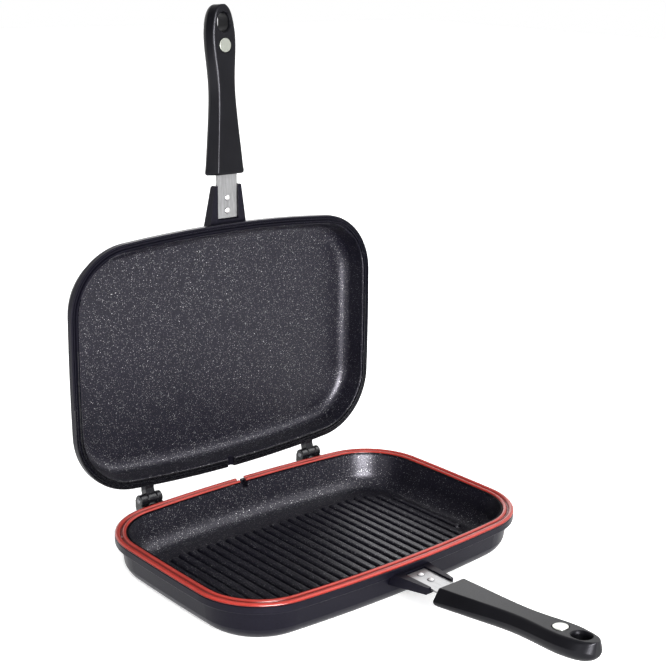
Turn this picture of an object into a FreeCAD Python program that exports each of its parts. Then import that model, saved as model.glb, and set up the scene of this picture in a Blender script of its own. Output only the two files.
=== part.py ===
import FreeCAD, Part
import math
import os
from FreeCAD import Vector as V

os.makedirs("parts", exist_ok=True)

# ---------------------------------------------------------------------------
# Driving dimensions, in millimetres.
# Frame: origin in the middle of the lower pan's flat underside, +Z up,
# +X along the hinge line, -Y towards the handles, +Y towards the hinges.
# The upper pan is drawn closed and then turned open about the hinge line.
# ---------------------------------------------------------------------------

# outline of both rims: eight tangent arcs, offset inwards by an inset
HALF_X = 180.2          # half length over the short sides
HALF_Y = 124.2          # half depth over the long sides
R_LONG = 1330.0         # bow of the long sides
R_SHORT = 2670.0        # bow of the short sides
R_CORNER = 65.0         # corner radius

# hinge line and lid opening
HINGE_Y = 132.7
HINGE_Z = 39.85
OPEN_DEG = 91.0

# lower pan
Z_LEDGE = 37.3          # ledge that carries the gasket
Z_FLANGE = 30.5         # underside of the rim flange
Z_LAND = 38.7           # inner land beside the gasket
Z_FLOOR = 5.0           # floor between the ridges
S_BASE = 19.3           # inset of the flat base
S_GASKET = 10.4         # gasket width measured from the outside
S_MOUTH = 12.5          # inset of the cooking space at the rim
DRAFT_DEG = 14.0        # slope of the inner wall
R_FLOOR = 18.0          # fillet between inner wall and floor
GROOVE_A, GROOVE_B = 4.0, 7.2   # gasket groove, from inset to inset
Z_GROOVE = 34.0

# grill ridges
RIDGE_PITCH = 10.96
RIDGE_N = 13            # ridges each side of the middle one
RIDGE_W0 = 8.4          # width at the floor
RIDGE_W1 = 6.6          # width at the top
RIDGE_H = 2.4
RIDGE_HALF_X = 147.5    # ridged area
RIDGE_HALF_Y = 73.0
RIDGE_R = 46.0          # corner radius of the ridged area

# steam gap at the back
VENT_X = -3.5
VENT_W = 6.6
Z_VENT = 33.0

# gasket
Z_LIP = 40.1            # top of both lips
Z_VALLEY = 37.95
Z_LIP_SIDE = 38.7        # where the lips meet the valley and the inner side

# steam notch in the upper rim
NOTCH_W = 7.0
NOTCH_D = 4.9

# upper pan (closed position)
Z_LID_RIM = 40.4
Z_LID_FLANGE = 47.2
Z_LID_FLOOR = 67.0      # inner face of the flat top
Z_LID_TOP = 70.5
R_LID_OUT = 16.0        # outer edge radius of the flat top
S_LID_BASE = 23.0       # inset where that radius ends
S_LID_MOUTH = 8.3
LID_DRAFT_DEG = 9.0
R_LID_FLOOR = 12.5

# hinges: outer ends of each barrel along X
BARRELS = ((-115.0, -91.0), (85.0, 109.0))
EAR_ROOT = 117.7        # where the ears start inside the rim flange
LUG_ROOT = 118.4        # where the knuckle lugs start inside the lid flange
EAR_A = 8.0             # length of the ear at the -X end
EAR_B = 5.8             # length of the ear at the +X end
KNUCKLE_GAP = 0.3       # side play of the lid knuckle
R_BARREL = 5.8
R_PIN = 2.5
PIN_PLAY = 0.06         # radial play of the pin in the lid knuckle
HEEL = 7.3              # heel of the lid knuckle that meets the stop
STOP_PLAY = 0.1

# handle brackets and plates
BR_Y0 = -114.0          # bracket root, inside the wall
BR_Y1 = -160.5          # bracket outer end
BR_W0 = 21.6            # half width at the pan
BR_W1 = 15.6            # half width at the outer end
BR_D0 = 10.2            # depth below the plate's upper face, at the pan
BR_D1 = 5.4             # the same at the outer end
CH_W = 12.1             # half width of the plate's channel
CH_Y = -127.4           # inner end of the channel
RAIL = 1.5              # rail height above the plate
PLATE_W = 23.4
PLATE_T = 2.0
Z_PLATE_LO = 31.1       # upper face of the lower plate
Z_PLATE_UP = 48.3       # lower face of the upper plate, closed
PLATE_Y0 = -128.6
PLATE_TAIL = 58.0       # length of plate inside the grip
RIVET_Y = (-135.7, -148.2)
R_RIVET = 2.4
R_RIVET_HEAD = 3.3
RIVET_HEAD_H = 1.7

# grips
END_R = 2.4             # rounding of the pan end
GRIP_Y0 = -171.5
GRIP_Z_LO = 37.4        # flat face of the lower grip at its pan end
GRIP_Z_UP = 41.3        # flat face of the upper grip at its pan end, closed
TILT_LO = 4.2
TILT_UP = 3.75
MAG_Y = -291.4
R_MAG = 6.5
MAG_T = 5.0
MAG_PROUD = 0.6
MAG_RING_W = 0.8        # sunk ring round the magnet
MAG_RING_D = 0.9
HOLE_Y = -312.4
HOLE_W = 13.0
HOLE_L = 16.6
HOLE_FLARE = 1.4

# grip sections: distance from the pan end, half width of the flat face,
# largest half width, depth at the largest width, full depth
GRIP_SECT = (
    (0.0, 14.9, 22.6, 10.0, 18.0),
    (7.0, 14.4, 21.6, 9.9, 18.6),
    (20.0, 13.4, 19.8, 9.5, 18.9),
    (38.5, 11.7, 17.6, 8.8, 18.9),
    (58.5, 10.2, 15.6, 8.0, 18.5),
    (78.5, 9.3, 14.3, 7.4, 18.3),
    (98.5, 10.3, 14.8, 7.1, 18.9),
    (112.0, 11.8, 15.7, 7.1, 19.6),
    (124.0, 12.6, 16.2, 7.2, 20.0),
    (134.0, 12.2, 15.8, 7.3, 19.9),
    (142.0, 10.9, 14.5, 7.5, 19.4),
    (148.3, 9.5, 12.6, 7.8, 18.4),
    (152.4, 7.8, 10.6, 8.1, 17.1),
    (155.1, 5.9, 8.4, 8.5, 15.6),
    (156.8, 3.8, 6.0, 8.9, 14.0),
    (157.6, 1.6, 3.4, 9.3, 12.4),
)


# ---------------------------------------------------------------------------
# helpers
# ---------------------------------------------------------------------------
def corner_data():
    c1 = (0.0, HALF_Y - R_LONG)
    c2 = (HALF_X - R_SHORT, 0.0)
    a = R_LONG - R_CORNER
    b = R_SHORT - R_CORNER
    dx, dy = c2[0] - c1[0], c2[1] - c1[1]
    dist = math.hypot(dx, dy)
    t = (a * a - b * b + dist * dist) / (2 * dist)
    h = math.sqrt(a * a - t * t)
    mx, my = c1[0] + dx * t / dist, c1[1] + dy * t / dist
    nx, ny = -dy / dist, dx / dist
    cx, cy = mx + nx * h, my + ny * h
    if cx < 0 or cy < 0:
        cx, cy = mx - nx * h, my - ny * h
    t1 = math.atan2(cy - c1[1], cx - c1[0])
    t2 = math.atan2(cy - c2[1], cx - c2[0])
    return c1, c2, (cx, cy), t1, t2


C1, C2, CC, T1, T2 = corner_data()


def pol(c, r, a, z):
    return V(c[0] + r * math.cos(a), c[1] + r * math.sin(a), z)


def arc3(p, q, r):
    return Part.Arc(p, q, r).toShape()


def outline(s, z):
    """closed wire of the rim outline, offset inwards by s, at height z"""
    rl, rs, rc = R_LONG - s, R_SHORT - s, R_CORNER - s
    e = []
    side = [pol(C2, rs, a, z) for a in (-T2, 0.0, T2)]
    cor = [pol(CC, rc, a, z) for a in (T2, (T1 + T2) / 2, T1)]
    top = [pol(C1, rl, a, z) for a in (T1, math.pi / 2, math.pi - T1)]

    def mir(pts, fx, fy):
        return [V(p.x * fx, p.y * fy, p.z) for p in pts]

    runs = [side, cor, top, mir(cor, -1, 1)[::-1], mir(side, -1, 1)[::-1],
            mir(cor, -1, -1), mir(top, 1, -1)[::-1], mir(cor, 1, -1)[::-1]]
    for r in runs:
        e.append(arc3(*r))
    return Part.Wire(Part.__sortEdges__(e))


def slab(s, z0, z1):
    return Part.Face(outline(s, z0)).extrude(V(0, 0, z1 - z0))


def profile_wire(items):
    """items: points (s, z) or ('arc', mid, end); returns a closed wire in the
    plane x = 0 at the back of the outline, where y = HALF_Y - s"""
    def P(q):
        return V(0, HALF_Y - q[0], q[1])
    edges = []
    cur = items[0]
    for it in items[1:] + [items[0]]:
        if it[0] == 'arc':
            edges.append(arc3(P(cur), P(it[1]), P(it[2])))
            cur = it[2]
        else:
            if math.hypot(it[0] - cur[0], it[1] - cur[1]) > 1e-6:
                edges.append(Part.LineSegment(P(cur), P(it)).toShape())
            cur = it
    return Part.Wire(edges)


def turned(face, centre, a_deg):
    f = face.copy()
    f.rotate(V(centre[0], centre[1], 0), V(0, 0, 1), a_deg)
    return f


def ring(items, back=True):
    """sweep of a profile round the outline: one revolved piece per arc; the
    back long side is left out when back is False"""
    f0 = Part.Face(profile_wire(items))
    zc = V(0, 0, 1)
    # the profile stands at angle pi/2 on the long back arc
    half = math.degrees(math.pi / 2 - T1)
    f = turned(f0, C1, -half)
    top = f.revolve(V(C1[0], C1[1], 0), zc, 2 * half)
    # corner arc, from T1 down to T2
    a = math.degrees(T1 - T2)
    g = turned(f, CC, -a)
    cor = g.revolve(V(CC[0], CC[1], 0), zc, a)
    # short side
    b = math.degrees(T2)
    h = turned(g, C2, -2 * b)
    side = h.revolve(V(C2[0], C2[1], 0), zc, 2 * b)
    ox, oy, o = V(1, 0, 0), V(0, 1, 0), V(0, 0, 0)
    parts = [cor, side, cor.mirror(o, ox), side.mirror(o, ox), cor.mirror(o, oy),
             cor.mirror(o, ox).mirror(o, oy), top.mirror(o, oy)]
    if back:
        return top.fuse(parts)
    return f0, parts


def box(x0, x1, y0, y1, z0, z1):
    return Part.makeBox(x1 - x0, y1 - y0, z1 - z0, V(x0, y0, z0))


def prism_x(pts, x0, x1):
    w = Part.makePolygon([V(x0, p[0], p[1]) for p in pts] + [V(x0, pts[0][0], pts[0][1])])
    return Part.Face(w).extrude(V(x1 - x0, 0, 0))


def prism_z(pts, z0, z1):
    w = Part.makePolygon([V(p[0], p[1], z0) for p in pts] + [V(pts[0][0], pts[0][1], z0)])
    return Part.Face(w).extrude(V(0, 0, z1 - z0))


def cyl_x(x0, x1, y, z, r):
    return Part.makeCylinder(r, x1 - x0, V(x0, y, z), V(1, 0, 0))


def one(shape):
    shape = shape.removeSplitter()
    if len(shape.Solids) == 1:
        return shape.Solids[0]
    return shape


def opened(shape):
    s = shape.copy()
    s.rotate(V(0, HINGE_Y, HINGE_Z), V(1, 0, 0), -OPEN_DEG)
    return s


def rad_fillet(s_at, z_at, z_floor, draft, r, up):
    """tangent points and middle point of the fillet between a drafted wall
    through (s_at, z_at) and the flat floor at z_floor; up = +1 when the wall
    rises from the floor, -1 when it hangs from it"""
    d = math.radians(draft)
    sc = s_at + abs(z_at - z_floor) * math.tan(d)
    t = r * math.tan((math.pi / 2 - d) / 2)
    p_floor = (sc + t, z_floor)
    p_wall = (sc - t * math.sin(d), z_floor + up * t * math.cos(d))
    cen = (sc + t, z_floor + up * r)
    mx, mz = -(math.cos(d)), -up * (1 + math.sin(d))
    n = math.hypot(mx, mz)
    mid = (cen[0] + r * mx / n, cen[1] + r * mz / n)
    return p_floor, mid, p_wall


# ---------------------------------------------------------------------------
# lower pan: one casting with ribbed floor, rim flange, two hinge ears pairs
# and the handle bracket
# ---------------------------------------------------------------------------
pf, pm, pw = rad_fillet(S_MOUTH + 1.0, 33.0, Z_FLOOR, DRAFT_DEG, R_FLOOR, 1)
S_IN = pf[0] + 3.0
lower_ring = ring([
    (S_BASE, 0.0),
    ('arc', (12.9, 4.3), (8.1, 12.0)),
    (6.0, 27.0),
    ('arc', (5.1, 29.4), (2.6, Z_FLANGE)),
    (0.9, Z_FLANGE),
    ('arc', (0.26, Z_FLANGE + 0.26), (0.0, Z_FLANGE + 0.9)),
    (0.0, Z_LEDGE - 0.5),
    (0.5, Z_LEDGE),
    (GROOVE_A, Z_LEDGE),
    (GROOVE_A, Z_GROOVE),
    (GROOVE_B, Z_GROOVE),
    (GROOVE_B, Z_LEDGE),
    (S_GASKET, Z_LEDGE),
    (S_GASKET, Z_LAND - 0.3),
    (S_GASKET + 0.3, Z_LAND),
    (S_MOUTH - 0.6, Z_LAND),
    ('arc', (S_MOUTH - 0.18, Z_LAND - 0.18), (S_MOUTH, Z_LAND - 0.6)),
    (S_MOUTH, 37.0),
    pw,
    ('arc', pm, pf),
    (S_IN, Z_FLOOR),
    (S_IN, 0.0),
])
lower = lower_ring.fuse(slab(S_IN - 1.0, 0.0, Z_FLOOR))


def ridge(x):
    ax = abs(x)
    ye = RIDGE_HALF_Y
    edge = RIDGE_HALF_X - RIDGE_R
    if ax > edge:
        k = min(1.0, (ax - edge) / RIDGE_R)
        ye = RIDGE_HALF_Y - RIDGE_R + RIDGE_R * math.sqrt(max(0.0, 1 - k * k))

    def stadium(w, y, z):
        r = w / 2 - 0.01
        e = [Part.LineSegment(V(x + w / 2, -y + r, z), V(x + w / 2, y - r, z)).toShape(),
             arc3(V(x + w / 2, y - r, z), V(x, y, z), V(x - w / 2, y - r, z)),
             Part.LineSegment(V(x - w / 2, y - r, z), V(x - w / 2, -y + r, z)).toShape(),
             arc3(V(x - w / 2, -y + r, z), V(x, -y, z), V(x + w / 2, -y + r, z))]
        return Part.Wire(e)
    zt = Z_FLOOR + RIDGE_H
    w0 = RIDGE_W0 + 0.4
    lo = stadium(w0, ye, Z_FLOOR - 0.4)
    mid = stadium(RIDGE_W1 + 1.0, ye - 1.2, zt - 0.95)
    sh = stadium(RIDGE_W1 - 0.3, ye - 1.9, zt - 0.3)
    up = stadium(RIDGE_W1 - 2.4, ye - 3.0, zt)
    a = Part.makeLoft([lo, mid], True, True)
    b = Part.makeLoft([mid, sh], True, True)
    c = Part.makeLoft([sh, up], True, True)
    return a.fuse([b, c]).removeSplitter()


ridges = [ridge(k * RIDGE_PITCH) for k in range(-RIDGE_N, RIDGE_N + 1)]
lower = lower.fuse(ridges)

# steam channel across the rim
vx0, vx1 = VENT_X - VENT_W / 2, VENT_X + VENT_W / 2
chan = box(vx0, vx1, HALF_Y - S_MOUTH - 4.0, HALF_Y + 3.0, Z_VENT + 1.2, 60.0)
chan = chan.fuse(box(vx0 + 1.2, vx1 - 1.2, HALF_Y - S_MOUTH - 4.0, HALF_Y + 3.0, Z_VENT, 60.0))
for xx in (vx0 + 1.2, vx1 - 1.2):
    chan = chan.fuse(Part.makeCylinder(1.2, S_MOUTH + 7.0,
                                       V(xx, HALF_Y - S_MOUTH - 4.0, Z_VENT + 1.2), V(0, 1, 0)))
lower = lower.cut(chan)


def barrel(x0, x1):
    """round of a hinge ear or knuckle with bevelled ends"""
    c = cyl_x(x0, x1, HINGE_Y, HINGE_Z, R_BARREL)
    return c.makeChamfer(0.7, [e for e in c.Edges if isinstance(e.Curve, Part.Circle)])


def ear(x0, x1):
    c = barrel(x0, x1)
    web = prism_x([(EAR_ROOT, 31.0), (HINGE_Y - 1.0, 30.2), (HINGE_Y + 1.5, 29.4),
                   (HINGE_Y + 4.6, 29.4), (HINGE_Y + R_BARREL, 32.6),
                   (HINGE_Y + R_BARREL, HINGE_Z), (HINGE_Y, HINGE_Z),
                   (HINGE_Y - 4.6, 36.4), (EAR_ROOT, 36.4)], x0, x1)
    return c.fuse(web)


shelf_top = HINGE_Z - HEEL - STOP_PLAY
for xa, xb in BARRELS:
    lower = lower.fuse([ear(xa, xa + EAR_A), ear(xb - EAR_B, xb),
                        prism_x([(HINGE_Y + 0.4, shelf_top), (HINGE_Y + 0.4, 29.4),
                                 (HINGE_Y + 4.6, 29.4), (HINGE_Y + 5.3, 30.4),
                                 (HINGE_Y + 5.3, shelf_top)], xa + EAR_A - 1, xb - EAR_B + 1)])
for xa, xb in BARRELS:
    lower = lower.cut(cyl_x(xa - 1, xb + 1, HINGE_Y, HINGE_Z, R_PIN))


def bracket(z_plate, up):
    """channelled lug; up = +1 for the lower pan (plate lies on top), -1 for
    the upper pan in its closed position"""
    def zz(v):
        return z_plate + up * v
    top = RAIL
    # side profile in y, z
    prof = [(BR_Y0, zz(top)), (BR_Y1, zz(top)),
            (BR_Y1, zz(-BR_D1 + 1.6)), (BR_Y1 + 1.8, zz(-BR_D1)), (BR_Y0, zz(-BR_D0))]
    if up < 0:
        prof = prof[::-1]
    body = prism_x(prof, -40, 40)
    lo, hi = sorted((zz(top + 1), zz(-20)))
    plan = prism_z([(-BR_W0, BR_Y0), (-BR_W0, -120.0), (-BR_W1, BR_Y1),
                    (BR_W1, BR_Y1), (BR_W0, -120.0), (BR_W0, BR_Y0)], lo, hi)
    b = body.common(plan)
    ends = [e for e in b.Edges
            if abs(e.CenterOfMass.y - BR_Y1) < 0.1 and e.BoundBox.ZLength > 3.0
            and e.BoundBox.XLength < 0.1]
    b = b.makeFillet(1.2, ends)
    zlo, zhi = sorted((zz(-PLATE_T), zz(top + 5)))
    b = b.cut(box(-CH_W, CH_W, BR_Y1 - 5, CH_Y, zlo, zhi))
    return b


def rivet_hole(y, z0, z1):
    return Part.makeCylinder(R_RIVET, z1 - z0, V(0, y, z0), V(0, 0, 1))


lower_br = bracket(Z_PLATE_LO, 1)
lower = lower.fuse(lower_br)
for y in RIVET_Y:
    lower = lower.cut(rivet_hole(y, Z_PLATE_LO - 9.0, Z_PLATE_LO + 3.0))
lower = one(lower)

# ---------------------------------------------------------------------------
# upper pan, drawn closed
# ---------------------------------------------------------------------------
qf, qm, qw = rad_fillet(S_LID_MOUTH + 0.3, Z_LID_RIM + 1.0, Z_LID_FLOOR, LID_DRAFT_DEG, R_LID_FLOOR, -1)
S_IN2 = qf[0] + 3.0
zr = Z_LID_RIM
upper_ring = ring([
    (0.6, zr),
    (1.1, zr), (1.5, zr + 0.9), (2.1, zr + 0.9), (2.6, zr),
    (3.1, zr), (3.5, zr + 1.4), (4.3, zr + 1.4),
    (4.9, zr), (5.3, zr - 0.8), (6.0, zr - 0.8), (6.4, zr + 1.2),
    (6.9, zr + 1.2), (7.4, zr + 0.2),
    ('arc', (7.8, zr + 0.05), (S_LID_MOUTH, zr + 0.6)),
    (S_LID_MOUTH + 0.3, zr + 1.0),
    qw,
    ('arc', qm, qf),
    (S_IN2, Z_LID_FLOOR),
    (S_IN2, Z_LID_TOP),
    (S_LID_BASE, Z_LID_TOP),
    ('arc', (S_LID_BASE - R_LID_OUT * math.sin(math.radians(42)),
             Z_LID_TOP - R_LID_OUT * (1 - math.cos(math.radians(42)))),
     (S_LID_BASE - R_LID_OUT * math.sin(math.radians(86)),
      Z_LID_TOP - R_LID_OUT * (1 - math.cos(math.radians(86))))),
    (6.3, 50.7),
    ('arc', (5.1, 48.3), (2.6, Z_LID_FLANGE)),
    (0.9, Z_LID_FLANGE),
    ('arc', (0.26, Z_LID_FLANGE - 0.26), (0.0, Z_LID_FLANGE - 0.9)),
    (0.0, zr + 0.6),
])
upper = upper_ring.fuse(slab(S_IN2 - 1.0, Z_LID_FLOOR, Z_LID_TOP))
# shallow raised panel on the outside of the flat top
upper = upper.fuse(slab(33.0, Z_LID_TOP - 0.5, Z_LID_TOP + 0.8))
# steam notch in the rim
nw = NOTCH_W / 2
notch = Part.Face(Part.makePolygon([
    V(VENT_X - nw - 1.5, 100, zr - 2), V(VENT_X + nw + 1.5, 100, zr - 2),
    V(VENT_X + nw + 1.5, 100, zr - 0.2), V(VENT_X + nw, 100, zr + 1.2),
    V(VENT_X + nw, 100, zr + NOTCH_D - 1.6), V(VENT_X + nw - 1.7, 100, zr + NOTCH_D),
    V(VENT_X - nw + 1.7, 100, zr + NOTCH_D), V(VENT_X - nw, 100, zr + NOTCH_D - 1.6),
    V(VENT_X - nw, 100, zr + 1.2), V(VENT_X - nw - 1.5, 100, zr - 0.2),
    V(VENT_X - nw - 1.5, 100, zr - 2)])).extrude(V(0, 40, 0))
upper = upper.cut(notch)


def knuckle(xa, xb):
    x0, x1 = xa + EAR_A + KNUCKLE_GAP, xb - EAR_B - KNUCKLE_GAP
    k = barrel(x0, x1)
    lug = prism_x([(LUG_ROOT, zr + 0.2), (122.5, zr + 0.2), (HINGE_Y - 5.4, HINGE_Z - 0.8),
                   (HINGE_Y, HINGE_Z), (HINGE_Y + 1.9, HINGE_Z + 5.48),
                   (126.4, Z_LID_FLANGE + 0.7), (LUG_ROOT, Z_LID_FLANGE + 0.7)], x0, x1)
    heel = prism_x([(HINGE_Y, HINGE_Z), (HINGE_Y + HEEL, HINGE_Z),
                    (HINGE_Y + HEEL, HINGE_Z + 3.4), (HINGE_Y + HEEL - 1.6, HINGE_Z + 5.0),
                    (HINGE_Y + 1.9, HINGE_Z + 5.48)], x0, x1)
    return k.fuse([lug, heel])


for xa, xb in BARRELS:
    upper = upper.fuse(knuckle(xa, xb))
for xa, xb in BARRELS:
    upper = upper.cut(cyl_x(xa - 1, xb + 1, HINGE_Y, HINGE_Z, R_PIN + PIN_PLAY))
upper_br = bracket(Z_PLATE_UP, -1)
upper = upper.fuse(upper_br)
for y in RIVET_Y:
    upper = upper.cut(rivet_hole(y, Z_PLATE_UP - 3.0, Z_PLATE_UP + 9.0))
upper = one(upper)

# ---------------------------------------------------------------------------
# gasket: open strip with a foot in the groove and two lips
# ---------------------------------------------------------------------------
def bead(top, side):
    """middle point of the arc from a bead's top, level there, to its side"""
    dx, dz = side[0] - top[0], top[1] - side[1]
    r = (dx * dx + dz * dz) / (2 * dz)
    ang = (math.pi / 2 + math.atan2(r - dz, dx)) / 2
    return (top[0] + r * math.cos(ang), top[1] - r + r * math.sin(ang))


IN_TOP, OUT_TOP = (8.5, Z_LIP), (2.45, Z_LIP)
in_a, in_b = (S_GASKET - 0.06, Z_LIP_SIDE), (6.7, Z_LIP_SIDE)
out_a, out_b = (4.7, Z_LIP_SIDE), (0.05, Z_LIP_SIDE - 0.3)
gasket_face, gasket_parts = ring([
    (1.0, Z_LEDGE + 0.02),
    (GROOVE_A + 0.02, Z_LEDGE + 0.02),
    (GROOVE_A + 0.02, Z_GROOVE + 0.02),
    (GROOVE_B - 0.02, Z_GROOVE + 0.02),
    (GROOVE_B - 0.02, Z_LEDGE + 0.02),
    (S_GASKET - 0.06, Z_LEDGE + 0.02),
    in_a,
    ('arc', bead(IN_TOP, in_a), IN_TOP),
    ('arc', bead(IN_TOP, in_b), in_b),
    ('arc', (5.7, Z_VALLEY), out_a),
    ('arc', bead(OUT_TOP, out_a), OUT_TOP),
    ('arc', bead(OUT_TOP, out_b), out_b),
    ('arc', (0.27, Z_LEDGE + 0.42), (1.0, Z_LEDGE + 0.02)),
], back=False)
zc = V(0, 0, 1)
c1 = V(C1[0], C1[1], 0)
a_right = math.acos(9.0 / R_LONG)
a_left = math.acos((VENT_X - 3.9) / R_LONG)
right = turned(gasket_face, C1, math.degrees(T1 - math.pi / 2)).revolve(c1, zc, math.degrees(a_right - T1))
left = turned(gasket_face, C1, math.degrees(a_left - math.pi / 2)).revolve(
    c1, zc, math.degrees(math.pi - T1 - a_left))
# the last stretch beside the gap is straight and cut off at a slant
end = turned(gasket_face, C1, math.degrees(a_right - math.pi / 2)).extrude(
    V(-math.sin(a_right), math.cos(a_right), 0) * 11.0)
slant = prism_z([(VENT_X - 9.0, HALF_Y + 4), (VENT_X - 9.0, HALF_Y - 20),
                 (VENT_X + 0.4, HALF_Y - 20), (VENT_X + 2.9, HALF_Y - S_GASKET - 1.3),
                 (VENT_X + 9.2, HALF_Y + 4)], 30.0, 45.0)
end = end.cut(slant)
gasket = one(right.fuse([left, end] + gasket_parts))

# ---------------------------------------------------------------------------
# hinge pins
# ---------------------------------------------------------------------------
pins = []
for xa, xb in BARRELS:
    p = cyl_x(xa - 0.5, xb + 0.5, HINGE_Y, HINGE_Z, R_PIN)
    p = p.makeChamfer(0.4, [e for e in p.Edges if isinstance(e.Curve, Part.Circle)])
    pins.append(p)
hinge_pins = Part.makeCompound(pins)


# ---------------------------------------------------------------------------
# grips, drawn flat: flat face in z = 0, pan end at y = 0, body below
# ---------------------------------------------------------------------------
def sect_wire(y, wf, wm, d1, dd):
    """flat face, rounded edge, side facet and a full rounded back"""
    t = min(0.9, 0.28 * wf) if y < 60 else min(2.2, 0.42 * wf)
    if 38 < y < 100:
        t = 0.9 + 1.3 * (y - 38) / 62.0
        t = min(t, 0.42 * wf)
    length = math.hypot(wm - wf, d1)
    u = ((wm - wf) / length, -d1 / length)
    pA = (wf - t, 0.0)
    pC = (wf + u[0] * t, u[1] * t)
    pB = ((pA[0] + pC[0]) / 4 + wf / 2, (pA[1] + pC[1]) / 4)
    pD = (wm, -d1)
    k = 0.64

    def P(q, s=1):
        return V(q[0] * s, -y, q[1])

    def back(s):
        bz = Part.BezierCurve()
        bz.setPoles([P(pD, s), P((wm, -d1 - k * (dd - d1)), s), P((k * wm, -dd), s), P((0, -dd), s)])
        return bz.toShape()
    e = [Part.LineSegment(P(pA, -1), P(pA)).toShape(),
         arc3(P(pA), P(pB), P(pC)),
         Part.LineSegment(P(pC), P(pD)).toShape(),
         back(1), back(-1),
         Part.LineSegment(P(pD, -1), P(pC, -1)).toShape(),
         arc3(P(pC, -1), P(pB, -1), P(pA, -1))]
    return Part.Wire(Part.__sortEdges__(e))


def end_wire(y, ins):
    """first section pulled in by ins on all sides, for the rounded pan end"""
    wf, wm, d1, dd = GRIP_SECT[0][1:]
    w = sect_wire(y, wf - 0.55 * ins, wm - ins, d1 - ins, dd - 2 * ins)
    w.translate(V(0, 0, -ins))
    return w


def grip_body():
    first = END_R * (1 - math.cos(math.radians(15)))
    turns = [math.radians(d) for d in (15, 35, 55, 75, 90)]
    ends = [end_wire(END_R * (1 - math.cos(t)) - first, END_R * (1 - math.sin(t))) for t in turns]
    y0 = END_R - first
    wires = [sect_wire(y0, *GRIP_SECT[0][1:])] + [sect_wire(*r) for r in GRIP_SECT[1:]]
    g = Part.makeLoft(wires, True, False)
    e = Part.makeLoft(ends, True, False)
    return g.fuse(e)


def stadium_y(yc, w, length, z, grow):
    r = w / 2 + grow
    h = length / 2 - w / 2
    e = [Part.LineSegment(V(r, yc - h, z), V(r, yc + h, z)).toShape(),
         arc3(V(r, yc + h, z), V(0, yc + h + r, z), V(-r, yc + h, z)),
         Part.LineSegment(V(-r, yc + h, z), V(-r, yc - h, z)).toShape(),
         arc3(V(-r, yc - h, z), V(0, yc - h - r, z), V(r, yc - h, z))]
    return Part.Wire(e)


def grip(mag_y, hole_y):
    g = grip_body()
    # hanging hole with flared mouths on both faces
    g = g.cut(Part.Face(stadium_y(hole_y, HOLE_W, HOLE_L, 2.0, 0)).extrude(V(0, 0, -30)))
    fl = Part.makeLoft([stadium_y(hole_y, HOLE_W, HOLE_L, 0.01, HOLE_FLARE),
                        stadium_y(hole_y, HOLE_W, HOLE_L, -1.2, 0.45),
                        stadium_y(hole_y, HOLE_W, HOLE_L, -3.0, 0.0)], True, True)
    g = g.cut(fl)
    # blind seat for the magnet
    g = g.cut(Part.makeCylinder(R_MAG, MAG_T - MAG_PROUD, V(0, mag_y, -(MAG_T - MAG_PROUD)), V(0, 0, 1)))
    # sunk ring round it
    g = g.cut(Part.makeCylinder(R_MAG + MAG_RING_W, MAG_RING_D + 1.0, V(0, mag_y, -MAG_RING_D), V(0, 0, 1)))
    return g


def place_lower(s):
    s = s.copy()
    s.rotate(V(0, 0, 0), V(1, 0, 0), -TILT_LO)
    s.translate(V(0, GRIP_Y0, GRIP_Z_LO))
    return s


def place_upper(s):
    s = s.mirror(V(0, 0, 0), V(0, 0, 1))
    s.rotate(V(0, 0, 0), V(1, 0, 0), -TILT_UP)
    s.translate(V(0, GRIP_Y0, GRIP_Z_UP))
    return s


mag_local = (MAG_Y - GRIP_Y0) / math.cos(math.radians(TILT_LO))
hole_local = (HOLE_Y - GRIP_Y0) / math.cos(math.radians(TILT_LO))
g0 = grip(mag_local, hole_local)
grip_lo = place_lower(g0)
grip_up = place_upper(g0)
mag0 = Part.makeCylinder(R_MAG, MAG_T, V(0, mag_local, -(MAG_T - MAG_PROUD)), V(0, 0, 1))
mag0 = mag0.makeFillet(0.35, [e for e in mag0.Edges if isinstance(e.Curve, Part.Circle)
                              and e.CenterOfMass.z > 0.3])
mag_lo = place_lower(mag0)
mag_up = place_upper(mag0)


# ---------------------------------------------------------------------------
# plates: flat strip on the bracket, bent a little where it enters the grip
# ---------------------------------------------------------------------------
def plate(z_face, up, tilt):
    """z_face: face that carries the rivet heads; up = +1 when the strip lies
    below that face"""
    w = PLATE_W / 2
    za, zb = sorted((z_face, z_face - up * PLATE_T))
    y1 = GRIP_Y0 + 1.5
    flat = box(-w, w, y1, PLATE_Y0, za, zb)
    corner = [e for e in flat.Edges if abs(e.BoundBox.ZLength - PLATE_T) < 1e-6
              and e.CenterOfMass.y > PLATE_Y0 - 1]
    flat = flat.makeFillet(1.6, corner)
    tail_w = 9.0
    tail = box(-w, w, y1 - 9.0, y1, za, zb).fuse(
        box(-tail_w / 2, tail_w / 2, y1 - PLATE_TAIL, y1, za, zb))
    tail.rotate(V(0, y1, za), V(1, 0, 0), -tilt)
    s = flat.fuse(tail)
    # the small wedge that the bend leaves open
    wed = prism_x([(y1 + 0.4, za), (y1 - 0.4, za + 0.4 * math.tan(math.radians(tilt))),
                   (y1 - 0.4, zb), (y1 + 0.4, zb)], -w, w)
    s = s.fuse(wed)
    for y in RIVET_Y:
        s = s.cut(rivet_hole(y, za - 1, zb + 1))
    return one(s)


tang_lo = plate(Z_PLATE_LO, 1, TILT_LO)
tang_up = plate(Z_PLATE_UP, -1, TILT_UP)
grip_lo = one(grip_lo.cut(tang_lo))
grip_up = one(grip_up.cut(tang_up))


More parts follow.
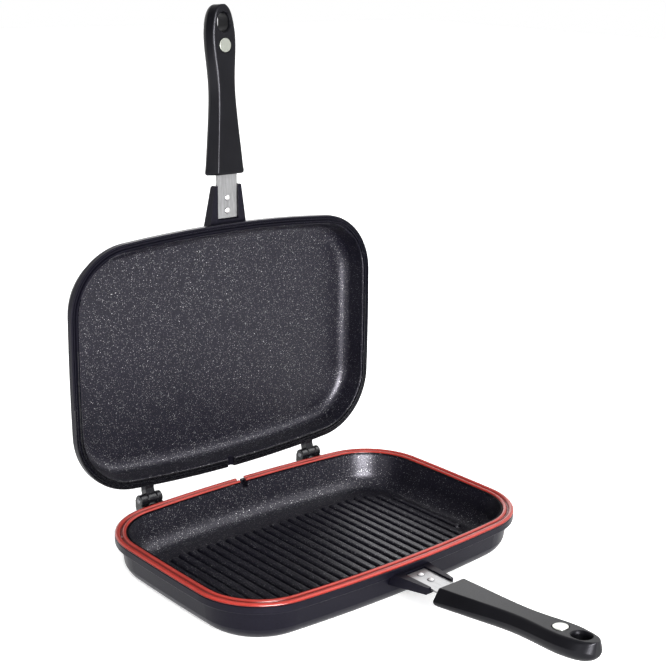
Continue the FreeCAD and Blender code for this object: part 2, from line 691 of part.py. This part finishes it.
# ---------------------------------------------------------------------------
# rivets: round heads on the plate, formed heads under the bracket
# ---------------------------------------------------------------------------
def rivets(z_face, up):
    out = []
    for y in RIVET_Y:
        # under face of the bracket at this y
        k = (y - (BR_Y1 + 1.8)) / (BR_Y0 - (BR_Y1 + 1.8))
        depth = BR_D1 + (BR_D0 - BR_D1) * k
        shank_end = z_face - up * (depth - 0.4)
        z0, z1 = sorted((z_face, shank_end))
        sh = Part.makeCylinder(R_RIVET, z1 - z0, V(0, y, z0), V(0, 0, 1))
        r, h = R_RIVET_HEAD, RIVET_HEAD_H
        rs = (r * r + h * h) / (2 * h)
        cap = Part.makeSphere(rs, V(0, y, z_face + up * (h - rs)))
        lo, hi = sorted((z_face, z_face + up * (h + 1)))
        cap = cap.common(Part.makeCylinder(r + 0.5, hi - lo, V(0, y, lo), V(0, 0, 1)))
        s = sh.fuse(cap).removeSplitter()
        out.append(s.Solids[0])
    return out


rv_lo = rivets(Z_PLATE_LO, 1)
rv_up = rivets(Z_PLATE_UP, -1)
rivets_lo = Part.makeCompound(rv_lo)
rivets_up = Part.makeCompound(rv_up)

# ---------------------------------------------------------------------------
# output
# ---------------------------------------------------------------------------
NODES = {
    "lower_pan": lower,
    "gasket": gasket,
    "hinge_pins": hinge_pins,
    "lower_plate": tang_lo,
    "lower_rivets": rivets_lo,
    "lower_grip": grip_lo,
    "lower_magnet": mag_lo,
    "upper_pan": opened(upper),
    "upper_plate": opened(tang_up),
    "upper_rivets": opened(rivets_up),
    "upper_grip": opened(grip_up),
    "upper_magnet": opened(mag_up),
}

for name, shape in NODES.items():
    shape.exportStep("parts/%s.step" % name)
    b = shape.BoundBox
    print("%-14s solids %d valid %s vol %.1f cm3  x %.1f..%.1f y %.1f..%.1f z %.1f..%.1f" % (
        name, len(shape.Solids), shape.isValid(), shape.Volume / 1000.0,
        b.XMin, b.XMax, b.YMin, b.YMax, b.ZMin, b.ZMax))
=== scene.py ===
import math

import bpy
from mathutils import Matrix, Vector

# light levels
ROOM = 0.18             # dark side of the room
BACKDROP = 1.7          # white walls to the right and behind
CEILING = 1.25          # wide soft light overhead

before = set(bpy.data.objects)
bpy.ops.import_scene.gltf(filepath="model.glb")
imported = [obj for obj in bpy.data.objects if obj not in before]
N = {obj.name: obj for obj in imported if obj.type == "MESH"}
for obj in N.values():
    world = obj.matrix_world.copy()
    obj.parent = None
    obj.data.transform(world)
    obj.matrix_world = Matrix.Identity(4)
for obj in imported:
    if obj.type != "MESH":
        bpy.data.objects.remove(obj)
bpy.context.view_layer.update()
scene = bpy.context.scene

# ---------------------------------------------------------------------------
# colour handling, world
# ---------------------------------------------------------------------------
scene.view_settings.view_transform = "Standard"
scene.view_settings.look = "None"
scene.view_settings.exposure = 0.0
scene.view_settings.gamma = 0.88

world = bpy.data.worlds.new("studio")
scene.world = world
world.use_nodes = True


# ---------------------------------------------------------------------------
# small node helpers
# ---------------------------------------------------------------------------
class Mat:
    def __init__(self, name):
        self.m = bpy.data.materials.new(name)
        self.m.use_nodes = True
        self.t = self.m.node_tree
        self.b = self.t.nodes["Principled BSDF"]
        self.x = 0

    def node(self, kind, **props):
        n = self.t.nodes.new(kind)
        self.x -= 40
        n.location = (self.x, self.x)
        for k, v in props.items():
            setattr(n, k, v)
        return n

    def link(self, a, b):
        self.t.links.new(a, b)

    def put(self, sock, v):
        if hasattr(v, "default_value") or hasattr(v, "is_output"):
            self.link(v, sock)
        else:
            sock.default_value = v

    def math(self, op, a, b=0.0, c=0.0, clamp=False):
        n = self.node("ShaderNodeMath", operation=op, use_clamp=clamp)
        self.put(n.inputs[0], a)
        self.put(n.inputs[1], b)
        self.put(n.inputs[2], c)
        return n.outputs[0]

    def vmath(self, op, a, b=(0, 0, 0)):
        n = self.node("ShaderNodeVectorMath", operation=op)
        self.put(n.inputs[0], a)
        self.put(n.inputs[1], b)
        return n.outputs["Value"] if op in ("DOT_PRODUCT", "LENGTH", "DISTANCE") else n.outputs[0]

    def sep(self, v):
        n = self.node("ShaderNodeSeparateXYZ")
        self.link(v, n.inputs[0])
        return n.outputs

    def comb(self, x, y, z):
        n = self.node("ShaderNodeCombineXYZ")
        self.put(n.inputs[0], x)
        self.put(n.inputs[1], y)
        self.put(n.inputs[2], z)
        return n.outputs[0]

    def mix(self, f, a, b):
        n = self.node("ShaderNodeMix", data_type="RGBA")
        self.put(n.inputs[0], f)
        self.put(n.inputs[6], a)
        self.put(n.inputs[7], b)
        return n.outputs[2]

    def mixf(self, f, a, b):
        n = self.node("ShaderNodeMix", data_type="FLOAT")
        self.put(n.inputs[0], f)
        self.put(n.inputs[2], a)
        self.put(n.inputs[3], b)
        return n.outputs[0]

    def ramp(self, v, lo, hi, a=0.0, b=1.0):
        n = self.node("ShaderNodeMapRange", clamp=True)
        self.put(n.inputs[0], v)
        n.inputs[1].default_value = lo
        n.inputs[2].default_value = hi
        n.inputs[3].default_value = a
        n.inputs[4].default_value = b
        return n.outputs[0]

    def coords(self):
        n = self.node("ShaderNodeTexCoord")
        return n.outputs["Object"], n.outputs["Normal"]

    def noise(self, vec, scale, detail=2.0, rough=0.5):
        n = self.node("ShaderNodeTexNoise")
        self.put(n.inputs["Vector"], vec)
        n.inputs["Scale"].default_value = scale
        n.inputs["Detail"].default_value = detail
        n.inputs["Roughness"].default_value = rough
        return n.outputs[0]

    def voro(self, vec, scale):
        n = self.node("ShaderNodeTexVoronoi", feature="F1")
        self.put(n.inputs["Vector"], vec)
        n.inputs["Scale"].default_value = scale
        return n.outputs["Distance"], n.outputs["Color"]

    def bump(self, h, dist, strength=1.0):
        n = self.node("ShaderNodeBump")
        n.inputs["Strength"].default_value = strength
        n.inputs["Distance"].default_value = dist
        self.link(h, n.inputs["Height"])
        return n.outputs[0]


def speck_layer(k, pos, scale, keep, r0, r1):
    """round specks: one in some cells; returns mask and a random value"""
    d, c = k.voro(pos, scale)
    own = k.node("ShaderNodeTexWhiteNoise", noise_dimensions="3D")
    k.link(c, own.inputs["Vector"])
    rgb = k.node("ShaderNodeSeparateColor")
    k.link(own.outputs["Color"], rgb.inputs[0])
    use = k.math("LESS_THAN", rgb.outputs[0], keep)
    rad = k.ramp(rgb.outputs[1], 0.0, 1.0, r0, r1)
    edge = k.math("DIVIDE", k.math("SUBTRACT", rad, d), 0.10, clamp=True)
    return k.math("MULTIPLY", edge, use), rgb.outputs[2]


def coating(name):
    """dark non-stick coating with bright metal flakes, inside of both pans"""
    k = Mat(name)
    pos, nrm = k.coords()
    m1, v1 = speck_layer(k, pos, 1200.0, 0.50, 0.16, 0.42)
    m2, v2 = speck_layer(k, pos, 640.0, 0.44, 0.10, 0.28)
    m3, v3 = speck_layer(k, pos, 250.0, 0.38, 0.05, 0.13)
    grain = k.noise(pos, 700.0, 2.0, 0.6)
    cloud = k.noise(pos, 14.0, 3.0, 0.5)
    base = k.mix(k.ramp(grain, 0.3, 0.75), (0.0012, 0.0011, 0.0030, 1), (0.0072, 0.0068, 0.0130, 1))
    base = k.mix(k.ramp(cloud, 0.40, 0.70, 0.0, 0.4), base, (0.0044, 0.0036, 0.0088, 1))
    s1 = k.math("MULTIPLY", k.math("MULTIPLY", m1, k.math("POWER", v1, 2.0)), 0.75)
    s2 = k.math("MULTIPLY", m2, k.ramp(v2, 0.0, 1.0, 0.10, 0.95))
    s3 = k.math("MULTIPLY", m3, k.ramp(v3, 0.0, 1.0, 0.7, 1.0))
    spk = k.math("MAXIMUM", k.math("MAXIMUM", s1, s2), s3)
    # painted shade: the flakes fade to 30% on faces turned to -x, the side walls that stand in shade
    spk = k.math("MULTIPLY", spk, k.ramp(k.sep(nrm)[0], -0.95, -0.35, 0.3, 1.0))
    col = k.mix(spk, base, (0.86, 0.86, 0.87, 1))
    k.link(col, k.b.inputs["Base Color"])
    k.link(k.math("MULTIPLY", spk, 0.92), k.b.inputs["Metallic"])
    k.link(k.mixf(spk, k.ramp(grain, 0.2, 0.8, 0.28, 0.42), 0.20), k.b.inputs["Roughness"])
    fine = k.noise(pos, 1500.0, 2.0, 0.6)
    h = k.math("ADD", k.math("MULTIPLY", fine, 0.7), k.math("MULTIPLY", spk, 0.4))
    h = k.math("ADD", h, k.math("MULTIPLY", k.noise(pos, 480.0, 2.0, 0.5), 1.3))
    k.link(k.bump(h, 0.00018, 0.7), k.b.inputs["Normal"])
    k.b.inputs["Specular IOR Level"].default_value = 0.34
    k.b.inputs["Specular Tint"].default_value = (0.94, 0.91, 1.0, 1.0)
    return k.m


def outside_paint(name):
    """plain satin black of the outsides, rims, ears and brackets"""
    k = Mat(name)
    pos, nrm = k.coords()
    grain = k.noise(pos, 800.0, 2.0, 0.6)
    cloud = k.noise(pos, 20.0, 3.0, 0.5)
    base = k.mix(k.ramp(grain, 0.3, 0.75), (0.0030, 0.0028, 0.0056, 1), (0.0064, 0.0060, 0.0112, 1))
    k.link(base, k.b.inputs["Base Color"])
    satin = k.math("ADD", k.ramp(grain, 0.2, 0.8, 0.30, 0.38), k.ramp(cloud, 0.3, 0.7, -0.02, 0.03))
    k.link(k.mixf(k.ramp(k.sep(nrm)[1], 0.35, 0.95), satin, 0.90), k.b.inputs["Roughness"])
    h = k.math("ADD", k.noise(pos, 1300.0, 2.0, 0.6), k.math("MULTIPLY", k.noise(pos, 380.0, 2.0, 0.5), 0.8))
    k.link(k.bump(h, 0.00010, 0.5), k.b.inputs["Normal"])
    k.b.inputs["Specular IOR Level"].default_value = 0.15
    k.b.inputs["Specular Tint"].default_value = (0.93, 0.89, 1.0, 1.0)
    return k.m


def painted_shade_land(name):
    """near-black, almost unreflective paint on the narrow land between the gasket and the lower mouth:
    painted shade standing in for a shadowed seam
    """
    k = Mat(name)
    pos, nrm = k.coords()
    grain = k.noise(pos, 900.0, 2.0, 0.6)
    k.link(k.mix(k.ramp(grain, 0.3, 0.75), (0.0012, 0.0011, 0.0018, 1), (0.0030, 0.0028, 0.0042, 1)),
           k.b.inputs["Base Color"])
    k.b.inputs["Roughness"].default_value = 0.5
    k.b.inputs["Specular IOR Level"].default_value = 0.03
    return k.m


def rim_paint(name):
    """glossier black of the lid's machined rim and of the hinge castings"""
    k = Mat(name)
    pos, nrm = k.coords()
    grain = k.noise(pos, 900.0, 2.0, 0.6)
    spot = k.noise(pos, 260.0, 2.0, 0.5)
    base = k.mix(k.ramp(grain, 0.3, 0.75), (0.0022, 0.0022, 0.0034, 1), (0.0062, 0.0062, 0.0088, 1))
    k.link(base, k.b.inputs["Base Color"])
    k.link(k.ramp(spot, 0.3, 0.7, 0.20, 0.32), k.b.inputs["Roughness"])
    h = k.math("ADD", k.noise(pos, 1100.0, 2.0, 0.6), k.math("MULTIPLY", spot, 0.9))
    k.link(k.bump(h, 0.00014, 0.6), k.b.inputs["Normal"])
    k.b.inputs["Specular IOR Level"].default_value = 0.5
    return k.m


LID_Z = 0.1725


def in_lower(c, n):
    """faces of the lower pan's cooking space"""
    if abs(c.x) > 0.1705 or abs(c.y) > 0.1140 or c.z < 0.004 or c.z > 0.0386:
        return False
    return c.x * n.x + c.y * n.y < -0.02 or (n.z > 0.3 and c.z < 0.030)


def in_upper(c, n):
    """faces of the upper pan's cooking space"""
    z = c.z - LID_Z
    if abs(c.x) > 0.1745 or abs(z) > 0.1185 or c.y < 0.1342 or c.y > 0.1648:
        return False
    return c.x * n.x + z * n.z < -0.02 or (n.y < -0.3 and c.y > 0.146)


def silicone():
    k = Mat("red_silicone")
    pos, nrm = k.coords()
    n = k.noise(pos, 60.0, 3.0, 0.5)
    f = k.noise(pos, 1400.0, 2.0, 0.5)
    col = k.mix(k.ramp(n, 0.3, 0.7), (0.255, 0.026, 0.018, 1), (0.305, 0.034, 0.025, 1))
    # painted shade: below the bead tops (valley and outer side) the red turns dark maroon
    low = k.ramp(k.sep(pos)[2], 0.0381, 0.0392)
    col = k.mix(low, (0.115, 0.0085, 0.0065, 1), col)
    k.link(col, k.b.inputs["Base Color"])
    k.b.inputs["Roughness"].default_value = 0.26
    k.b.inputs["Specular IOR Level"].default_value = 0.36
    k.b.inputs["Subsurface Weight"].default_value = 0.12
    k.b.inputs["Subsurface Radius"].default_value = (0.004, 0.0012, 0.0008)
    k.b.inputs["Subsurface Scale"].default_value = 1.0
    k.link(k.bump(f, 0.00003, 0.4), k.b.inputs["Normal"])
    return k.m


def bakelite():
    k = Mat("black_grip")
    pos, nrm = k.coords()
    n = k.noise(pos, 900.0, 3.0, 0.6)
    c = k.noise(pos, 30.0, 3.0, 0.5)
    col = k.mix(k.ramp(c, 0.3, 0.7), (0.0022, 0.0022, 0.0032, 1), (0.0042, 0.0042, 0.0056, 1))
    k.link(col, k.b.inputs["Base Color"])
    k.link(k.ramp(n, 0.2, 0.8, 0.33, 0.43), k.b.inputs["Roughness"])
    k.b.inputs["Specular IOR Level"].default_value = 0.19
    k.b.inputs["Specular Tint"].default_value = (0.94, 0.93, 1.0, 1.0)
    k.link(k.bump(n, 0.00004, 0.5), k.b.inputs["Normal"])
    return k.m


def brushed(name, axis_len, dark, light):
    """steel with brush lines along the strip; axis_len is the index of the long axis"""
    k = Mat(name)
    pos, nrm = k.coords()
    s = [2600.0, 2600.0, 2600.0]
    s[axis_len] = 30.0
    v = k.vmath("MULTIPLY", pos, tuple(s))
    lines = k.noise(v, 1.0, 3.0, 0.6)
    col = k.mix(k.ramp(lines, 0.3, 0.7), (dark, dark, dark * 1.02, 1), (light, light, light * 1.01, 1))
    k.link(col, k.b.inputs["Base Color"])
    k.b.inputs["Metallic"].default_value = 1.0
    k.link(k.ramp(lines, 0.25, 0.75, 0.26, 0.42), k.b.inputs["Roughness"])
    wave = k.noise(pos, 150.0, 1.0, 0.4)
    h = k.math("ADD", k.math("MULTIPLY", lines, 0.08), wave)
    k.link(k.bump(h, 0.0004, 0.5), k.b.inputs["Normal"])
    return k.m


def metal(name, rgb, rough, fine=0.2):
    k = Mat(name)
    pos, nrm = k.coords()
    n = k.noise(pos, 1200.0, 2.0, 0.5)
    k.link(k.mix(k.ramp(n, 0.2, 0.8), tuple(c * 0.93 for c in rgb) + (1,), tuple(rgb) + (1,)),
           k.b.inputs["Base Color"])
    k.b.inputs["Metallic"].default_value = 1.0
    k.link(k.ramp(n, 0.2, 0.8, rough * 0.85, rough * 1.15), k.b.inputs["Roughness"])
    k.link(k.bump(n, 0.00003, fine), k.b.inputs["Normal"])
    return k.m


def rivet(name, node, axis, sign):
    """satin dome with painted shade round its foot on the plate; the head is 1.7 mm high"""
    top = max(v.co[axis] * sign for v in N[node].data.vertices)
    k = Mat(name)
    pos, nrm = k.coords()
    n = k.noise(pos, 1200.0, 2.0, 0.5)
    depth = k.math("SUBTRACT", top, k.math("MULTIPLY", k.sep(pos)[axis], sign))
    # painted shade: a dark ring round the foot of the dome where it meets the plate
    foot_painted_shade = k.math("MULTIPLY", k.ramp(depth, 0.00095, 0.00145), k.ramp(depth, 0.00175, 0.0019, 1.0, 0.0))
    col = k.mix(k.ramp(n, 0.2, 0.8), (0.48, 0.47, 0.47, 1), (0.54, 0.53, 0.53, 1))
    k.link(k.mix(foot_painted_shade, col, (0.10, 0.10, 0.11, 1)), k.b.inputs["Base Color"])
    k.b.inputs["Metallic"].default_value = 0.7
    k.b.inputs["Roughness"].default_value = 0.38
    k.link(k.bump(n, 0.00003, 0.2), k.b.inputs["Normal"])
    return k.m


def assign(node, mat):
    o = N[node]
    if not o.material_slots:
        o.data.materials.append(mat)
    for s in o.material_slots:
        s.material = mat


def on_land(c, n):
    """top of the lower pan between the gasket and the mouth"""
    return c.z > 0.0383 and n.z > 0.2 and c.y < 0.1150


def gloss_lower(c, n):
    """hinge ears of the lower pan"""
    return c.y > 0.1246


def gloss_upper(c, n):
    """rim face and hinge lugs of the upper pan"""
    return c.y < 0.1353 or c.z < 0.0478


def split(node, test, gloss, mat_in, mat_out, mat_gloss):
    """cooking side, machined or cast details, and the rest of the casting"""
    o = N[node]
    o.data.materials.clear()
    for m in (mat_out, mat_in, mat_gloss):
        o.data.materials.append(m)
    for f in o.data.polygons:
        f.material_index = 1 if test(f.center, f.normal) else 2 if gloss(f.center, f.normal) else 0


speckled = coating("coating_inside")
plain = outside_paint("coating_outside")
glossy = rim_paint("coating_rim")
split("lower_pan", in_lower, gloss_lower, speckled, plain, glossy)
split("upper_pan", in_upper, gloss_upper, speckled, plain, glossy)
low = N["lower_pan"].data
# painted shade: the land gets near-black, almost unreflective paint in place of the shadowed seam
low.materials.append(painted_shade_land("land_painted_shade"))
for f in low.polygons:
    if on_land(f.center, f.normal):
        f.material_index = 3
assign("gasket", silicone())
grip_mat = bakelite()
assign("lower_grip", grip_mat)
assign("upper_grip", grip_mat)
assign("lower_plate", brushed("steel_lower", 1, 0.27, 0.42))
# painted shade: the upper plate is the same steel as the lower, given darker tones
assign("upper_plate", brushed("steel_upper_painted_shade", 2, 0.21, 0.34))
assign("lower_rivets", rivet("rivet_lower", "lower_rivets", 2, 1.0))
assign("upper_rivets", rivet("rivet_upper", "upper_rivets", 1, -1.0))
mag = metal("magnet_metal", (0.50, 0.51, 0.48), 0.40)
assign("lower_magnet", mag)
# painted shade: the upper magnet is the same metal as the lower, given a darker colour
assign("upper_magnet", metal("magnet_metal_upper_painted_shade", (0.30, 0.31, 0.28), 0.42))
assign("hinge_pins", metal("pin_steel", (0.20, 0.20, 0.21), 0.42))

# ---------------------------------------------------------------------------
# floor
# ---------------------------------------------------------------------------
fm = Mat("floor_white")
fm.b.inputs["Base Color"].default_value = (0.92, 0.92, 0.92, 1)
fm.b.inputs["Roughness"].default_value = 0.9
fm.b.inputs["Specular IOR Level"].default_value = 0.1
fm.b.inputs["Emission Color"].default_value = (1.0, 1.0, 1.0, 1)
fm.b.inputs["Emission Strength"].default_value = 0.42
bpy.ops.mesh.primitive_plane_add(size=14.0, location=(0, 0, -0.0003))
floor = bpy.context.object
floor.name = "floor"
floor.data.materials.append(fm.m)


# ---------------------------------------------------------------------------
# studio: white walls right and behind, darker room left, one tall softbox
# ---------------------------------------------------------------------------
wt = world.node_tree
w_out = wt.nodes["World Output"]
w_bg = wt.nodes["Background"]
w_white = wt.nodes.new("ShaderNodeBackground")
w_white.inputs[0].default_value = (1.0, 1.0, 1.0, 1.0)
w_white.inputs[1].default_value = 1.0
w_mix = wt.nodes.new("ShaderNodeMixShader")
w_ray = wt.nodes.new("ShaderNodeLightPath")
w_tc = wt.nodes.new("ShaderNodeTexCoord")
w_dot = wt.nodes.new("ShaderNodeVectorMath")
w_dot.operation = "DOT_PRODUCT"
w_dot.inputs[1].default_value = (0.80, 0.60, 0.0)
w_map = wt.nodes.new("ShaderNodeMapRange")
w_map.interpolation_type = "SMOOTHSTEP"
w_map.inputs[1].default_value = -0.35
w_map.inputs[2].default_value = 0.35
w_map.inputs[3].default_value = ROOM
w_map.inputs[4].default_value = BACKDROP
w_sep = wt.nodes.new("ShaderNodeSeparateXYZ")
w_top = wt.nodes.new("ShaderNodeMapRange")
w_top.interpolation_type = "SMOOTHSTEP"
w_top.inputs[1].default_value = 0.52
w_top.inputs[2].default_value = 0.86
w_top.inputs[3].default_value = 0.0
w_top.inputs[4].default_value = CEILING
w_low = wt.nodes.new("ShaderNodeMapRange")
w_low.interpolation_type = "SMOOTHSTEP"
w_low.inputs[1].default_value = 0.36
w_low.inputs[2].default_value = 0.52
w_low.inputs[3].default_value = 1.0
w_low.inputs[4].default_value = 0.75
w_mul = wt.nodes.new("ShaderNodeMath")
w_mul.operation = "MULTIPLY"
w_max = wt.nodes.new("ShaderNodeMath")
w_max.operation = "MAXIMUM"
wt.links.new(w_tc.outputs["Generated"], w_dot.inputs[0])
wt.links.new(w_tc.outputs["Generated"], w_sep.inputs[0])
wt.links.new(w_dot.outputs["Value"], w_map.inputs[0])
wt.links.new(w_sep.outputs["Z"], w_top.inputs[0])
wt.links.new(w_sep.outputs["Z"], w_low.inputs[0])
wt.links.new(w_map.outputs[0], w_mul.inputs[0])
wt.links.new(w_low.outputs[0], w_mul.inputs[1])
wt.links.new(w_mul.outputs[0], w_max.inputs[0])
wt.links.new(w_top.outputs[0], w_max.inputs[1])
wt.links.new(w_max.outputs[0], w_bg.inputs[1])
w_bg.inputs[0].default_value = (1.0, 1.0, 1.0, 1.0)
wt.links.new(w_ray.outputs["Is Camera Ray"], w_mix.inputs[0])
wt.links.new(w_bg.outputs[0], w_mix.inputs[1])
wt.links.new(w_white.outputs[0], w_mix.inputs[2])
wt.links.new(w_mix.outputs[0], w_out.inputs[0])


def softbox(name, az, el, dist, size, size_y, power, target=(0.0, 0.03, 0.12), diffuse=True):
    d = bpy.data.lights.new(name, "AREA")
    d.shape = "RECTANGLE"
    d.size = size
    d.size_y = size_y
    d.energy = power
    o = bpy.data.objects.new(name, d)
    scene.collection.objects.link(o)
    a, e = math.radians(az), math.radians(el)
    v = Vector((math.sin(a) * math.cos(e), -math.cos(a) * math.cos(e), math.sin(e)))
    o.location = Vector(target) + v * dist
    o.rotation_euler = (-v).to_track_quat("-Z", "Y").to_euler()
    o.visible_camera = False
    o.visible_diffuse = diffuse
    return o


softbox("key_front", -21.0, 13.5, 2.2, 1.05, 1.15, 108.0)
softbox("key_shine", -21.0, 13.5, 2.15, 1.0, 1.1, 105.0, diffuse=False)
softbox("card_left", -69.0, -8.0, 1.3, 0.42, 0.36, 3.2, target=(0.0, 0.15, 0.42))
softbox("card_top", 66.0, 46.0, 2.0, 1.8, 1.2, 24.0, diffuse=False)
softbox("card_back", 138.0, 17.0, 2.2, 1.3, 0.8, 6.0, diffuse=False)

# ---------------------------------------------------------------------------
# camera
# ---------------------------------------------------------------------------
AZ, EL, ROLL = math.radians(-41.93), math.radians(16.36), math.radians(1.52)
F_PX, DIST, TX, TY = 1344.16, 1.2781, 0.02025, 0.20326
SX, SY = 13.11, -8.1
back = Vector((math.sin(AZ) * math.cos(EL), -math.cos(AZ) * math.cos(EL), math.sin(EL)))
right = Vector((math.cos(AZ), math.sin(AZ), 0.0))
up = back.cross(right)
loc = right * TX + up * TY + back * DIST
r2 = right * math.cos(ROLL) + up * math.sin(ROLL)
u2 = -right * math.sin(ROLL) + up * math.cos(ROLL)
cam_d = bpy.data.cameras.new("camera")
cam = bpy.data.objects.new("camera", cam_d)
scene.collection.objects.link(cam)
m = Matrix.Identity(4)
for i in range(3):
    m[i][0], m[i][1], m[i][2], m[i][3] = r2[i], u2[i], back[i], loc[i]
cam.matrix_world = m
cam_d.sensor_width = 36.0
cam_d.lens = F_PX * 36.0 / 666.0
cam_d.shift_x = -SX / 666.0
cam_d.shift_y = -SY / 666.0
cam_d.clip_start = 0.05
cam_d.clip_end = 50.0
scene.camera = cam
